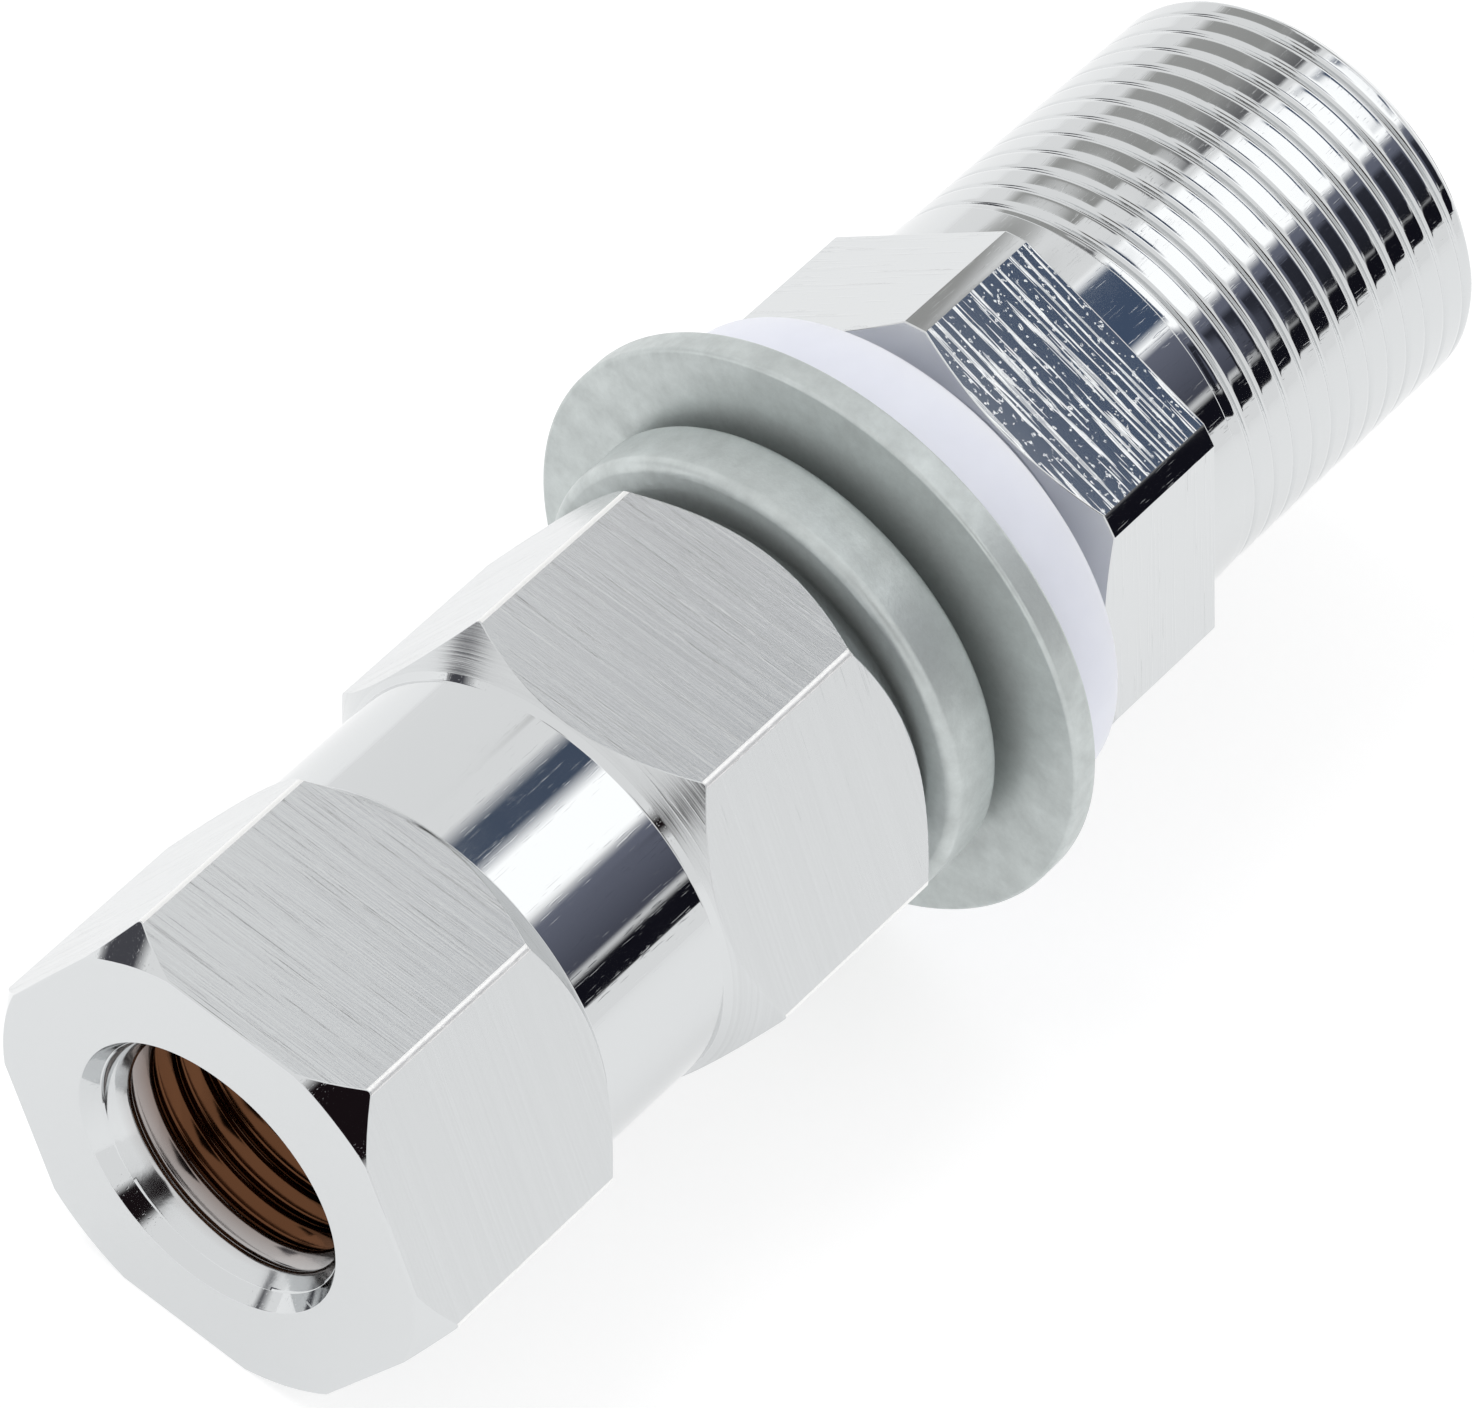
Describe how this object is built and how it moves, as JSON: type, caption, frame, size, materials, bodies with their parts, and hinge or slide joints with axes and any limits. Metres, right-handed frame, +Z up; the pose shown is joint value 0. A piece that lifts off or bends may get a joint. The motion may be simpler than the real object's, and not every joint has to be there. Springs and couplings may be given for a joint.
{
  "type": "antenna mount adapter",
  "caption": "Hexagonal antenna coupler clamped by its stud, washers and an insulating shoulder washer to a threaded coaxial socket, for a drilled bracket.",
  "frame": {"origin": "on the table, under the middle of the bounding box of the adapter as it rests", "axes": "+Z up, +X from the antenna end to the coax end, level; the adapter's own axis rises 5.78 degrees towards +X, because it rests on a lower edge of its coupler and on the flat washer's rim"},
  "size_m": [0.0578, 0.022, 0.0221],
  "materials": {
    "chrome_plate": "brass, chrome plated",
    "zinc_plate": "steel, clear zinc plated",
    "nylon": "moulded natural nylon",
    "ptfe": "turned white PTFE",
    "brass": "turned brass, satin"
  },
  "bodies": {
    "connector": {"connector_body": "chrome_plate", "front_insulator": "ptfe", "stud": "chrome_plate", "rear_insulator": "ptfe", "centre_contact": "brass"},
    "washers": {"lock_washer": "zinc_plate", "flat_washer": "zinc_plate", "nylon_washer": "nylon"},
    "coupler": {"coupler": "chrome_plate"}
  },
  "joints": [
    {"name": "clamp_travel", "type": "slide", "parent": "connector", "child": "washers", "axis": [-0.9949, 0, -0.1007], "range_m": [0, 0.00847]},
    {"name": "coupler_turn", "type": "hinge", "parent": "washers", "child": "coupler", "pos_m": [-0.01486, 0, 0.0093], "axis": [-0.9949, 0, -0.1007], "range_deg": [0, 2880]}
  ],
  "couplings": [
    {"joint": "coupler_turn", "follows": "clamp_travel", "rad_per_m": 5936.9}
  ]
}
